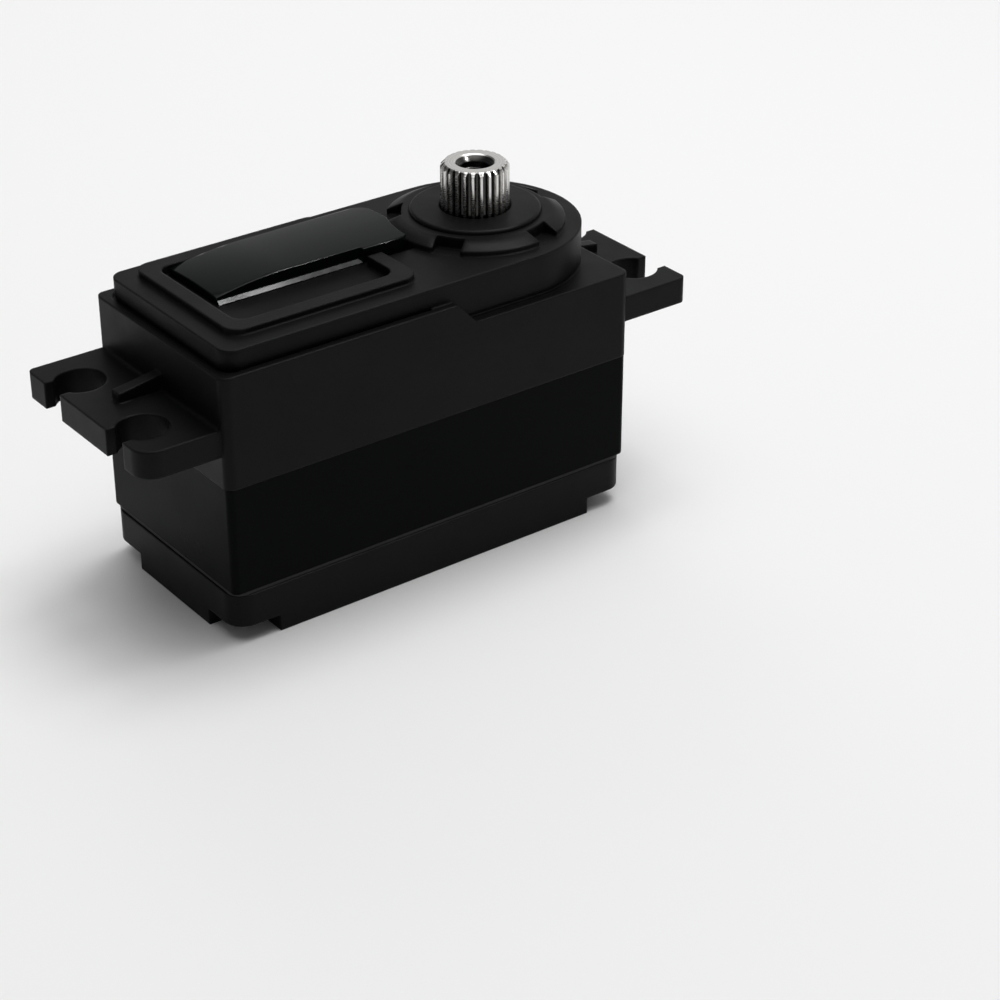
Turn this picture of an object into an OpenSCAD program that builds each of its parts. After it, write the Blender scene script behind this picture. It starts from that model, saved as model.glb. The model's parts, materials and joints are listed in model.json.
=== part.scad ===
// Low-profile servo motor with a four-stage metal gear train and a 25-tooth output spline.
// The origin is at the bottom centre of the box round the whole servo.
// +X points to the output end, -Y to the long front side and +Z up along the output shaft.

/* [Case] */
// Length of the case, without the ears
body_l = 40.6; // [40.4:0.1:40.8]
// Width of the case
body_w = 19.8; // [19.8:0.1:20.2]
// Thickness of the side walls
wall = 1.05; // [0.95:0.05:1.05]
// Height of the bottom cover's top edge
cover_top = 4.45; // [4.3:0.05:4.6]
// Thickness of the gasket
gasket_t = 0.3; // [0.2:0.05:0.35]
// Height of the joint between the middle case and the top case
joint_z = 14.4; // [14.3:0.05:14.5]
// Height of the low shoulder at the output end
low_shoulder_z = 22.25; // [22.2:0.05:22.4]
// Height of the high shoulder at the motor end
high_shoulder_z = 24.25; // [24.1:0.05:24.4]
// Height of the platform that carries the collar
platform_z = 26.0; // [25.9:0.05:26.05]
// Height of the rim round the label pocket
rim_z = 26.55; // [26.4:0.05:26.7]

/* [Ears] */
// Overall length across the ears
ear_span = 54.6; // [54:0.1:55]
// Width of an ear
ear_w = 18.5; // [18:0.1:18.8]
// Height of an ear's top face
ear_top = 19.65; // [19.5:0.05:19.8]
// Thickness of an ear
ear_t = 2.35; // [2.2:0.05:2.5]
// Distance between the mounting slots along the case
slot_span_x = 49.5; // [49:0.1:50]
// Distance between the mounting slots across the case
slot_span_y = 10; // [9.8:0.1:10.2]
// Radius of a mounting slot's round part
slot_r = 2.15; // [2:0.05:2.2]
// Width of a mounting slot's mouth
slot_mouth = 2.6; // [2.4:0.1:2.7]

/* [Output shaft] */
// Distance of the output axis from the middle of the case
output_x = 11.2; // [11.1:0.05:11.25]
// Number of spline teeth
spline_teeth = 25; // [24:1:25]
// Outer radius of the spline
spline_r = 2.95; // [2.9:0.01:2.96]
// Height of the spline's top face
spline_top = 31.4; // [31:0.1:31.6]
// Radius of the threaded hole for the horn screw
horn_hole_r = 1.25; // [1.2:0.05:1.5]
// Depth of the threaded hole for the horn screw
horn_hole_depth = 7; // [6:0.5:8]

/* [Gear train] */
// Teeth on the output gear
output_teeth = 38; // [38:1:38]
// Teeth on the third pinion
third_pinion_teeth = 10; // [10:1:10]
// Teeth on the third wheel
third_wheel_teeth = 44; // [44:1:44]
// Teeth on the second pinion
second_pinion_teeth = 10; // [10:1:10]
// Teeth on the second wheel
second_wheel_teeth = 38; // [38:1:38]
// Teeth on the first pinion
first_pinion_teeth = 14; // [14:1:14]
// Teeth on the first wheel
first_wheel_teeth = 28; // [28:1:28]
// Teeth on the motor pinion
motor_pinion_teeth = 11; // [11:1:11]
// Thickness taken off each tooth for backlash
backlash = 0.04; // [0.03:0.005:0.06]

/* [Motor] */
// Distance of the motor axis from the middle of the case, towards the motor end
motor_offset = 10.3; // [10.2:0.05:10.35]
// Radius of the motor can
motor_r = 7.6; // [7.5:0.05:7.6]
// Radius of the motor shaft
motor_shaft_r = 0.6; // [0.5:0.05:0.6]

/* [Hidden] */
$fn = 48;
pin_r = 0.75;
pin_fit = 0.03;
pressure_angle = 25;
addendum = 0.9;
dedendum = 1.15;

// Modules of the four gear stages, from the motor to the output
motor_mod = 0.25;
first_mod = 0.32;
second_mod = 0.3;
output_mod = 0.4;

// Case
case_corner_r = 0.8;
cover_corner_r = 1.8;
inner_l = body_l - 2 * wall;
inner_w = body_w - 2 * wall;
middle_l = body_l - 0.16;
middle_w = body_w - 0.16;
gasket_z = cover_top;
middle_z = cover_top + gasket_t;
pad_z = 1.5;
floor_t = 1.2;
pad_floor_z = pad_z + floor_t;
pad_size_x = 4.2;
pad_size_y = 4.3;
deck_t = 1.2;
deck_z = joint_z - deck_t;
lip_t = 0.5;
lip_h = 0.7;
column_r = 1.9;
column_x = 18.2;
column_y = 7.7;
screw_r = 0.9;
screw_head_r = 1.55;
screw_head_h = 1.1;
screw_seat_z = pad_z + 0.2 + screw_head_h;
screw_top_z = 20.4;
screw_pilot_r = 0.9;

// Platform, rim and label plate on top of the top case
platform_hw = 9.1;
platform_x0 = -19.4;
platform_corner_r = 1.3;
platform_groove = 0.15;
step_top_x = 2.1;
step_bottom_x = 4.1;
rim_x0 = -17.6;
rim_x1 = 0.4;
rim_y0 = -7.2;
rim_y1 = 8.2;
rim_r = 1.4;
rim_t = 1.45;
pocket_floor_z = 25.7;
ceiling_z = pocket_floor_z - 1.1;
pocket_corner_r = 1.2;
tongue_gap = 0.55;
plate_x0 = -15;
plate_x1 = 4.0;
plate_y0 = -1.05;
plate_y1 = rim_y1 - rim_t;
plate_corner_r = 1.4;
plate_top_z = 27.2;
plate_gap = 0.06;
plate_foot = 0.4;
plate_crown_r = 33;
crown_x = -8;
crown_facets = 200;

// Collar, dust cap and bearing seats
flange_r = 7.7;
flange_edge_z = 26.45;
flange_top_r = 6.45;
flange_z = 27.05;
notch_count = 5;
notch_w = 2.5;
notch_inner_r = 6.3;
first_notch_angle = -73;
cap_r = 5.62;
cap_edge_z = 27.4;
cap_top_z = 27.5;
cap_seat_z = 26.4;
cap_bore_r = 3.05;
seal_bore_r = 3.9;
bearing_r = 5.0;
bearing_bore_r = 3.0;
bearing_w = 3.0;
bearing_lip_r = 4.4;
bearing_boss_r = 6.2;
upper_bearing_z = 21.5;
lower_bearing_z = joint_z - bearing_w;
ball_r = 0.55;
ball_pitch_r = 4.0;
ball_count = 9;
groove_r = 0.57;
shield_t = 0.2;

// Gear positions: each pair of axes lies at the sum of its two pitch radii
motor_x = -motor_offset;
output_distance = output_mod * (third_pinion_teeth + output_teeth) / 2;
second_distance = second_mod * (second_pinion_teeth + third_wheel_teeth) / 2;
first_distance = first_mod * (first_pinion_teeth + second_wheel_teeth) / 2;
motor_distance = motor_mod * (motor_pinion_teeth + first_wheel_teeth) / 2;
third_y = 1.4;
third_x = output_x - sqrt(pow(output_distance, 2) - pow(third_y, 2));
second_x = third_x - sqrt(pow(second_distance, 2) - pow(third_y, 2));
motor_to_second = second_x - motor_x;
distance_sum = pow(motor_to_second, 2) + pow(motor_distance, 2) - pow(first_distance, 2);
first_dx = distance_sum / (2 * motor_to_second);
first_y = sqrt(pow(motor_distance, 2) - pow(first_dx, 2));
motor_at = [motor_x, 0];
first_at = [motor_x + first_dx, first_y];
second_at = [second_x, 0];
third_at = [third_x, third_y];
output_at = [output_x, 0];

// Levels of the gear train
boss_r = 8.7;
boss_bore_r = motor_r + 0.05;
boss_top_z = 19.9;
boss_plate_z = 18.9;
output_gear_z = 14.8;
output_gear_top = 19.4;
output_hub_r = 2.45;
shaft_collar_r = 3.5;
third_pinion_z = 14.7;
third_wheel_z = 20.1;
third_wheel_top = 21.0;
second_pinion_z = 20.15;
second_wheel_z = 21.3;
second_wheel_top = 22.3;
first_wheel_z = 20.15;
first_wheel_top = 21.05;
first_pinion_top = 22.6;
motor_pinion_top = 21.1;
pin_top_z = 24.2;
pin_socket_z = 23.1;
pin_socket_r = 1.6;

// Motor
can_z = 5.4;
can_top_z = boss_plate_z;
can_t = 0.6;
nose_r = 2.2;
nose_top_z = 19.6;
bell_t = 1.2;
magnet_t = 1.4;
armature_r = 5.3;
armature_z = 9.2;
armature_top_z = 16.6;
armature_slots = 5;
slot_circle_r = 3.3;
slot_round_r = 1.25;
commutator_r = 1.9;
commutator_z = 7.0;
commutator_top_z = 8.8;
bush_r = 1.6;
bush_fit = 0.02;
motor_screw_circle_r = 5.8;
motor_screw_angles = [-133, -43];
motor_screw_r = 0.8;
motor_screw_head_r = 1.6;

// Electronics
board_z = 3.1;
board_t = 0.9;
board_top = board_z + board_t;
board_post_x = 14.6;
board_post_y = 7.1;
pot_z = 4.8;
pot_top_z = 9.6;
pot_r = 4.8;
pot_t = 0.6;
pot_shaft_r = 1.5;
pot_shaft_top = 13.6;
pot_flat = 0.45;
grommet_z = 3.4;
grommet_h = 2.9;
grommet_w = 6.4;

// ---------- Helpers ----------

function involute_angle(a) = tan(a) * 180 / PI - a;
function bearing_to(from, to) = atan2(to[1] - from[1], to[0] - from[0]);
function polar(r, a) = [r * cos(a), r * sin(a)];

// Half of a tooth's width, as an angle, at radius r
function half_tooth(teeth, mod, r) =
    let (pitch_r = mod * teeth / 2, base_r = pitch_r * cos(pressure_angle))
    90 / teeth - backlash / 2 / pitch_r * 180 / PI
        + involute_angle(pressure_angle) - involute_angle(acos(min(1, base_r / r)));

// Outline of a spur gear with one tooth centred on the angle phase
module gear_outline(teeth, mod, phase) {
    pitch_r = mod * teeth / 2;
    tip_r = pitch_r + addendum * mod;
    root_r = pitch_r - dedendum * mod;
    foot_r = max(root_r + 0.02, pitch_r * cos(pressure_angle));
    radii = [root_r, foot_r, (foot_r + tip_r) / 2, tip_r];
    polygon([
        for (i = [0 : teeth - 1])
            for (side = [-1, 1])
                for (k = [0 : 3])
                    let (r = radii[side < 0 ? k : 3 - k])
                    polar(r, phase + 360 * i / teeth + side * half_tooth(teeth, mod, max(r, foot_r)))
    ]);
}

// Shaft spline outline: plain trapezium teeth between the root and the tip
module spline_outline(root_r) {
    pitch = 360 / spline_teeth;
    polygon([
        for (i = [0 : spline_teeth - 1])
            for (p = [[root_r, -0.36], [spline_r, -0.14], [spline_r, 0.14], [root_r, 0.36]])
                polar(p[0], pitch * (i + p[1]))
    ]);
}

module tube(outer_r, inner_r, z0, z1) {
    translate([0, 0, z0])
        difference() {
            cylinder(r = outer_r, h = z1 - z0);
            translate([0, 0, -1]) cylinder(r = inner_r, h = z1 - z0 + 2);
        }
}

module rod(r, z0, z1) {
    translate([0, 0, z0]) cylinder(r = r, h = z1 - z0);
}

module at(p) {
    translate([p[0], p[1], 0]) children();
}

module span(z0, z1) {
    translate([0, 0, z0]) linear_extrude(z1 - z0) children();
}

module box_between(low, high) {
    translate(low) cube(high - low);
}

module rounded_rect(l, w, r) {
    square([l - 2 * r, w], center = true);
    square([l, w - 2 * r], center = true);
    for (sx = [-1, 1], sy = [-1, 1])
        translate([sx * (l / 2 - r), sy * (w / 2 - r)]) circle(r);
}

module rounded_box(l, w, r, z0, z1) {
    span(z0, z1) rounded_rect(l, w, r);
}

// Rounded rectangle between two corners
module rounded_area(low, high, r) {
    translate((low + high) / 2) rounded_rect(high[0] - low[0], high[1] - low[1], r);
}

module at_corners() {
    for (sx = [-1, 1], sy = [-1, 1])
        translate([sx * column_x, sy * column_y, 0]) children();
}

// ---------- Case ----------

// D-shaped outline of the platform, with its round end on the output axis
module platform_outline(inset) {
    hw = platform_hw - inset;
    x0 = platform_x0 + inset;
    r = platform_corner_r;
    translate([x0 + r, -hw]) square([output_x - x0 - r, 2 * hw]);
    translate([x0, -hw + r]) square([output_x - x0, 2 * (hw - r)]);
    for (sy = [-1, 1]) translate([x0 + r, sy * (hw - r)]) circle(r);
    translate([output_x, 0]) circle(hw);
}

// Outline of one ear before its slots, with its outer edge towards +X
module ear_outline(front_r, back_r) {
    x0 = body_l / 2 - wall;
    x1 = ear_span / 2;
    hw = ear_w / 2;
    translate([x0, -hw + front_r]) square([x1 - x0, 2 * hw - front_r - back_r]);
    translate([x0, -hw]) square([x1 - front_r - x0, front_r + 1]);
    translate([x0, hw - back_r - 1]) square([x1 - back_r - x0, back_r + 1]);
    translate([x1 - front_r, -hw + front_r]) circle(front_r);
    translate([x1 - back_r, hw - back_r]) circle(back_r);
}

module ear_slots() {
    for (sy = [-1, 1])
        translate([slot_span_x / 2, sy * slot_span_y / 2, ear_top - ear_t - 1]) {
            cylinder(r = slot_r, h = ear_t + 2);
            translate([0, -slot_mouth / 2, 0]) cube([5, slot_mouth, ear_t + 2]);
        }
}

// Centre rib on top of an ear: highest at the case and lower at its tip
module ear_rib() {
    x0 = body_l / 2 - wall / 2;
    translate([0, 0.55, 0])
        rotate([90, 0, 0])
            linear_extrude(1.1)
                polygon([
                    [x0, ear_top - 1], [x0, ear_top + 1.45],
                    [body_l / 2 + 0.4, ear_top + 1.4], [24.3, ear_top + 0.85], [24.3, ear_top - 1]
                ]);
}

// Small fillet where the ear's top meets the case
module ear_fillet() {
    x = body_l / 2;
    translate([0, ear_w / 2 - 0.2, 0])
        rotate([90, 0, 0])
            linear_extrude(ear_w - 0.4)
                polygon([
                    [x - 0.4, ear_top - 0.4], [x - 0.4, ear_top + 0.4], [x, ear_top + 0.4],
                    [x + 0.12, ear_top + 0.12], [x + 0.4, ear_top], [x + 0.4, ear_top - 0.4]
                ]);
}

module ear(front_r) {
    difference() {
        union() {
            span(ear_top - ear_t, ear_top) ear_outline(front_r, 0.6);
            ear_rib();
            ear_fillet();
        }
        ear_slots();
    }
}

module top_case_outside() {
    rounded_box(body_l, body_w, case_corner_r, joint_z, low_shoulder_z);
    // High shoulder, ending in a slope towards the output
    intersection() {
        rounded_box(body_l, body_w, case_corner_r, low_shoulder_z - 1, high_shoulder_z);
        translate([0, body_w, 0])
            rotate([90, 0, 0])
                linear_extrude(2 * body_w)
                    polygon([
                        [-body_l, low_shoulder_z - 1], [step_bottom_x, low_shoulder_z - 1],
                        [step_bottom_x, low_shoulder_z], [step_top_x, high_shoulder_z],
                        [-body_l, high_shoulder_z]
                    ]);
    }
    // The platform's wall starts with two thin grooves
    span(low_shoulder_z - 1, platform_z - 3.2) platform_outline(platform_groove);
    span(low_shoulder_z + 0.1, low_shoulder_z + 0.24) platform_outline(0);
    span(low_shoulder_z + 0.36, platform_z) platform_outline(0);
    span(platform_z - 1, rim_z) rounded_area([rim_x0, rim_y0], [rim_x1, rim_y1], rim_r);
    flange();
    ear(0.6);
    mirror([1, 0, 0]) ear(1.8);
}

// Low collar round the output, with a sloping side
module flange() {
    at(output_at)
        rotate_extrude()
            polygon([
                [0, platform_z - 1], [flange_r, platform_z - 1], [flange_r, flange_edge_z],
                [flange_top_r, flange_z], [0, flange_z]
            ]);
}

module collar_notches() {
    at(output_at)
        difference() {
            for (k = [0 : notch_count - 1])
                rotate([0, 0, first_notch_angle + 360 / notch_count * k])
                    translate([notch_inner_r - 1, -notch_w / 2, platform_z + 0.02])
                        cube([3, notch_w, 2]);
            rod(notch_inner_r, platform_z - 1, platform_z + 3);
        }
}

// Thin groove on the high shoulder, at the foot of the platform's wall
module shoulder_groove() {
    span(high_shoulder_z - 0.2, high_shoulder_z + 0.06)
        difference() {
            intersection() {
                platform_outline(-0.16);
                translate([-body_l, -body_w]) square([body_l, 2 * body_w]);
            }
            platform_outline(0.1);
        }
}

// Pocket inside the rim. Its channel runs through the rim to the flange, under the plate's tongue.
module label_pocket() {
    inside = [rim_x1 - rim_t, rim_y1 - rim_t];
    span(pocket_floor_z, rim_z + 1)
        difference() {
            union() {
                rounded_area([rim_x0 + rim_t, rim_y0 + rim_t], inside, pocket_corner_r);
                translate([inside[0] - 3, plate_y0 - tongue_gap])
                    square([plate_x1 + 3 - inside[0], inside[1] - plate_y0 + tongue_gap]);
            }
            at(output_at) circle(flange_r);
        }
}

module top_case_hollow() {
    // Main space for the gears, up to the low shoulder
    rounded_box(inner_l, inner_w, 0.5, joint_z - 1, low_shoulder_z - wall);
    // Relief for the output gear, which reaches close to the end wall
    at(output_at) rod(8.35, joint_z - 1, output_gear_top + 0.5);
    // Space below the high shoulder
    intersection() {
        rounded_box(inner_l, inner_w, 0.5, joint_z, high_shoulder_z - wall);
        box_between([-body_l, -body_w, joint_z], [step_top_x - wall, body_w, ceiling_z]);
    }
    // Space below the platform
    difference() {
        span(joint_z, ceiling_z) platform_outline(wall);
        at(output_at) rod(bearing_boss_r, upper_bearing_z - 0.2, ceiling_z + 1);
    }
}

module top_case() {
    color([0.06, 0.06, 0.065])
        difference() {
            union() {
                difference() {
                    top_case_outside();
                    top_case_hollow();
                }
                intersection() {
                    rounded_box(body_l - wall, body_w - wall, 0.5, joint_z, low_shoulder_z - 0.5);
                    at_corners() rod(column_r, joint_z, low_shoulder_z - 0.5);
                }
                for (p = [first_at, second_at, third_at])
                    at(p) rod(pin_socket_r, pin_socket_z, ceiling_z + 0.5);
            }
            label_pocket();
            shoulder_groove();
            collar_notches();
            for (p = [first_at, second_at, third_at])
                at(p) rod(pin_r, pin_socket_z - 1, pin_top_z);
            at_corners() rod(screw_pilot_r, joint_z - 1, screw_top_z + 0.3);
            at(output_at) {
                rod(bearing_r, upper_bearing_z - 1, upper_bearing_z + bearing_w);
                rod(bearing_lip_r, upper_bearing_z, upper_bearing_z + bearing_w + 0.3);
                rod(seal_bore_r, upper_bearing_z, cap_seat_z + 0.5);
                rod(cap_r, cap_seat_z, flange_z + 1);
            }
        }
}

module plate_outline() {
    r = plate_corner_r;
    y0 = plate_y0;
    y1 = plate_y1 - plate_gap;
    straight_x1 = plate_x1 - r;
    difference() {
        union() {
            translate([plate_x0, y0]) square([straight_x1 - plate_x0, y1 - y0]);
            translate([straight_x1 - 1, y0 + r]) square([r + 1, y1 - y0 - 2 * r]);
            for (y = [y0 + r, y1 - r]) translate([straight_x1, y]) circle(r);
        }
        at(output_at) circle(flange_r + plate_gap);
    }
}

// Space in front of the plate where it crosses the open half of the pocket.
// It leaves a sloping foot along the plate's front edge.
module plate_foot_cut() {
    rim_inside_x = rim_x1 - rim_t;
    below = 0.5;
    translate([rim_inside_x, 0, 0])
        rotate([90, 0, -90])
            linear_extrude(body_l)
                polygon([
                    [-(plate_y0 - below), pocket_floor_z - below],
                    [-(plate_y0 + plate_foot), pocket_floor_z + plate_foot],
                    [-(plate_y0 + plate_foot), plate_top_z + 1],
                    [-(plate_y0 - below), plate_top_z + 1]
                ]);
}

// Half of the plate's blank, on one side of the line where its crown starts to fall
module plate_blank(x0, x1) {
    intersection() {
        span(pocket_floor_z, plate_top_z + 0.5) plate_outline();
        box_between([x0, plate_y0 - 1, pocket_floor_z - 1], [x1, plate_y1 + 1, plate_top_z + 1]);
    }
}

// Blank plate in the label pocket, crowned across its width. Its motor end also falls lengthwise.
module label_plate() {
    mid_y = (plate_y0 + plate_y1) / 2;
    color([0.04, 0.045, 0.045])
        difference() {
            union() {
                intersection() {
                    plate_blank(crown_x, plate_x1 + 1);
                    translate([crown_x - 1, mid_y, plate_top_z - plate_crown_r])
                        rotate([0, 90, 0])
                            cylinder(r = plate_crown_r, h = body_l, $fn = crown_facets);
                }
                intersection() {
                    plate_blank(plate_x0 - 1, crown_x);
                    translate([crown_x, mid_y, plate_top_z - plate_crown_r])
                        rotate([0, 90, 0])
                            sphere(r = plate_crown_r, $fn = crown_facets);
                }
            }
            plate_foot_cut();
        }
}

// Ring pressed into the collar round the spline
module dust_cap() {
    color([0.05, 0.05, 0.055])
        at(output_at)
            rotate_extrude()
                polygon([
                    [cap_bore_r, cap_seat_z], [cap_r, cap_seat_z], [cap_r, cap_edge_z - 0.12],
                    [cap_r - 0.14, cap_edge_z], [cap_bore_r + 0.1, cap_top_z],
                    [cap_bore_r, cap_top_z - 0.08]
                ]);
}

// Lip that stands inside the top case's wall, clear of its screw columns and of the output gear
module register_lip() {
    l = inner_l - 0.1;
    w = inner_w - 0.1;
    difference() {
        rounded_box(l, w, 0.5, joint_z - 0.5, joint_z + lip_h);
        rounded_box(l - 2 * lip_t, w - 2 * lip_t, 0.4, joint_z - 1, joint_z + 2);
        at(output_at) rod(8.3, joint_z, joint_z + 2);
        at_corners() rod(column_r + 0.1, joint_z, joint_z + 2);
    }
}

// Round housing of the motor: it joins the walls below the deck and stands above it as a boss
module motor_housing() {
    intersection() {
        at(motor_at) rod(boss_r + 0.4, middle_z, deck_z + 0.5);
        rounded_box(middle_l - wall, middle_w - wall, 0.5, middle_z, joint_z);
    }
    intersection() {
        at(motor_at) rod(boss_r, deck_z, boss_top_z);
        box_between([-inner_l / 2 + 0.5, -body_w / 2, deck_z], [0, body_w / 2, boss_top_z]);
    }
}

module middle_case() {
    color([0.03, 0.035, 0.036])
        difference() {
            union() {
                difference() {
                    rounded_box(middle_l, middle_w, 0.6, middle_z, joint_z);
                    rounded_box(inner_l - 0.16, inner_w - 0.16, 0.5, middle_z - 1, deck_z);
                }
                register_lip();
                motor_housing();
                at(output_at) rod(bearing_boss_r, lower_bearing_z - 0.9, joint_z - 0.2);
                intersection() {
                    rounded_box(middle_l - wall, middle_w - wall, 0.5, middle_z, joint_z);
                    at_corners() rod(column_r, middle_z, joint_z);
                }
                at(third_at) rod(pin_socket_r, deck_z - 1, joint_z);
            }
            // Motor space and the hole for the motor's nose
            at(motor_at) rod(boss_bore_r, middle_z - 1, boss_plate_z);
            at(motor_at) rod(nose_r, boss_plate_z - 1, boss_top_z + 1);
            // Window that shows the motor can
            box_between([-body_l / 2, -3.6, joint_z + 0.9], [motor_x - 6.5, 3.6, 18.5]);
            for (a = motor_screw_angles)
                at(motor_at + polar(motor_screw_circle_r, a)) rod(motor_screw_r, boss_plate_z - 1, boss_top_z + 1);
            for (p = [first_at, second_at])
                at(p) rod(pin_r, boss_plate_z - 1, boss_top_z + 1);
            at(third_at) rod(pin_r, deck_z - 2, joint_z + 1);
            at(output_at) {
                rod(bearing_r, lower_bearing_z, joint_z + 1);
                rod(bearing_lip_r, lower_bearing_z - 2, joint_z);
            }
            at_corners() rod(screw_r + 0.1, middle_z - 1, joint_z + 1);
            grommet_space();
        }
}

// Opening for the cable grommet, shared by the middle case and the bottom cover
module grommet_space() {
    box_between(
        [body_l / 2 - wall - 1, -grommet_w / 2, grommet_z],
        [body_l / 2 + 1, grommet_w / 2, grommet_z + grommet_h]);
}

module case_gasket() {
    color([0.02, 0.02, 0.02])
        difference() {
            rounded_box(body_l - 0.3, body_w - 0.3, 1.2, gasket_z, gasket_z + gasket_t);
            difference() {
                rounded_box(inner_l - 0.2, inner_w - 0.2, 0.6, gasket_z - 1, gasket_z + 1);
                at_corners() rod(column_r, gasket_z - 2, gasket_z + 2);
            }
            at_corners() rod(screw_r + 0.1, gasket_z - 1, gasket_z + 1);
            grommet_space();
        }
}

// Outline of the middle of the cover, which leaves the four corners free
module cover_foot_outline(inset) {
    l = body_l - 2 * inset;
    w = body_w - 2 * inset;
    x = body_l / 2 - pad_size_x - inset;
    y = body_w / 2 - pad_size_y - inset;
    square([2 * x, w], center = true);
    square([l, 2 * y], center = true);
}

module bottom_cover() {
    color([0.06, 0.06, 0.065])
        difference() {
            union() {
                difference() {
                    union() {
                        rounded_box(body_l, body_w, cover_corner_r, pad_z, cover_top);
                        span(0, pad_z) cover_foot_outline(0);
                    }
                    rounded_box(inner_l, inner_w, 1.0, pad_floor_z, cover_top + 1);
                    span(floor_t, pad_floor_z + 0.1) cover_foot_outline(wall);
                }
                intersection() {
                    rounded_box(body_l - wall, body_w - wall, 1.2, pad_floor_z - 0.5, cover_top);
                    at_corners() rod(column_r, pad_floor_z - 0.5, cover_top);
                }
                // Posts that carry the control board
                for (sx = [-1, 1], sy = [-1, 1])
                    translate([sx * board_post_x, sy * board_post_y, 0]) rod(0.8, floor_t - 0.2, board_z);
            }
            at_corners() {
                rod(screw_head_r + 0.15, pad_z - 1, screw_seat_z);
                rod(screw_r + 0.1, pad_z, cover_top + 1);
            }
            grommet_space();
        }
}

// Long case screws with cross-recessed heads, put in from below
module case_screws() {
    color([0.25, 0.25, 0.26])
        at_corners()
            difference() {
                union() {
                    rod(screw_head_r, screw_seat_z - screw_head_h, screw_seat_z);
                    rod(screw_r, screw_seat_z - 0.2, screw_top_z);
                }
                cross_recess(screw_seat_z - screw_head_h - 1, screw_seat_z - screw_head_h + 0.55, 1.7);
            }
}

module cross_recess(z0, z1, size) {
    for (a = [0, 90])
        rotate([0, 0, a])
            translate([-size / 2, -0.22, z0]) cube([size, 0.44, z1 - z0]);
}

module cable_grommet() {
    x1 = body_l / 2;
    color([0.03, 0.03, 0.03])
        difference() {
            union() {
                box_between(
                    [x1 - wall - 0.9, -grommet_w / 2, grommet_z], [x1, grommet_w / 2, grommet_z + grommet_h]);
                box_between(
                    [x1 - wall - 1.6, -grommet_w / 2 - 0.8, board_top + 0.05],
                    [x1 - wall - 0.7, grommet_w / 2 + 0.8, grommet_z + grommet_h + 0.8]);
            }
            for (y = [-1.6, 0, 1.6])
                translate([x1 - wall - 3, y, grommet_z + grommet_h / 2 + 0.3])
                    rotate([0, 90, 0])
                        cylinder(r = 0.6, h = 6);
        }
}

// ---------- Bearings ----------

module bearing_groove(z) {
    rotate_extrude() translate([ball_pitch_r, z]) circle(groove_r);
}

module bearing_outer_ring(z0) {
    color([0.75, 0.75, 0.76])
        at(output_at)
            difference() {
                tube(bearing_r, 4.4, z0, z0 + bearing_w);
                bearing_groove(z0 + bearing_w / 2);
            }
}

module bearing_inner_ring(z0) {
    color([0.75, 0.75, 0.76])
        at(output_at)
            difference() {
                tube(3.6, bearing_bore_r, z0, z0 + bearing_w);
                bearing_groove(z0 + bearing_w / 2);
            }
}

module bearing_balls(z0) {
    color([0.85, 0.85, 0.86])
        at(output_at)
            for (i = [0 : ball_count - 1])
                rotate([0, 0, 360 * i / ball_count])
                    translate([ball_pitch_r, 0, z0 + bearing_w / 2])
                        sphere(ball_r);
}

module bearing_cage(z0) {
    color([0.7, 0.6, 0.35])
        at(output_at)
            difference() {
                tube(ball_pitch_r + 0.2, ball_pitch_r - 0.2, z0 + 0.8, z0 + bearing_w - 0.8);
                for (i = [0 : ball_count - 1])
                    rotate([0, 0, 360 * i / ball_count])
                        translate([3, 0, z0 + bearing_w / 2])
                            rotate([0, 90, 0])
                                cylinder(r = ball_r + 0.01, h = 2);
            }
}

module bearing_shields(z0) {
    color([0.05, 0.05, 0.05])
        at(output_at)
            for (z = [z0 + 0.05, z0 + bearing_w - shield_t - 0.05])
                tube(4.4, 3.63, z, z + shield_t);
}

module upper_bearing_outer_ring() {
    bearing_outer_ring(upper_bearing_z);
}

module upper_bearing_inner_ring() {
    bearing_inner_ring(upper_bearing_z);
}

module upper_bearing_balls() {
    bearing_balls(upper_bearing_z);
}

module upper_bearing_cage() {
    bearing_cage(upper_bearing_z);
}

module upper_bearing_shields() {
    bearing_shields(upper_bearing_z);
}

module lower_bearing_outer_ring() {
    bearing_outer_ring(lower_bearing_z);
}

module lower_bearing_inner_ring() {
    bearing_inner_ring(lower_bearing_z);
}

module lower_bearing_balls() {
    bearing_balls(lower_bearing_z);
}

module lower_bearing_cage() {
    bearing_cage(lower_bearing_z);
}

// ---------- Gear train ----------

// Each wheel has a space, and each pinion a tooth, on the line between their axes
module third_pinion_outline() {
    gear_outline(third_pinion_teeth, output_mod, bearing_to(third_at, output_at));
}

module second_pinion_outline() {
    gear_outline(second_pinion_teeth, second_mod, bearing_to(second_at, third_at));
}

module first_pinion_outline() {
    gear_outline(first_pinion_teeth, first_mod, bearing_to(first_at, second_at));
}

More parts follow.
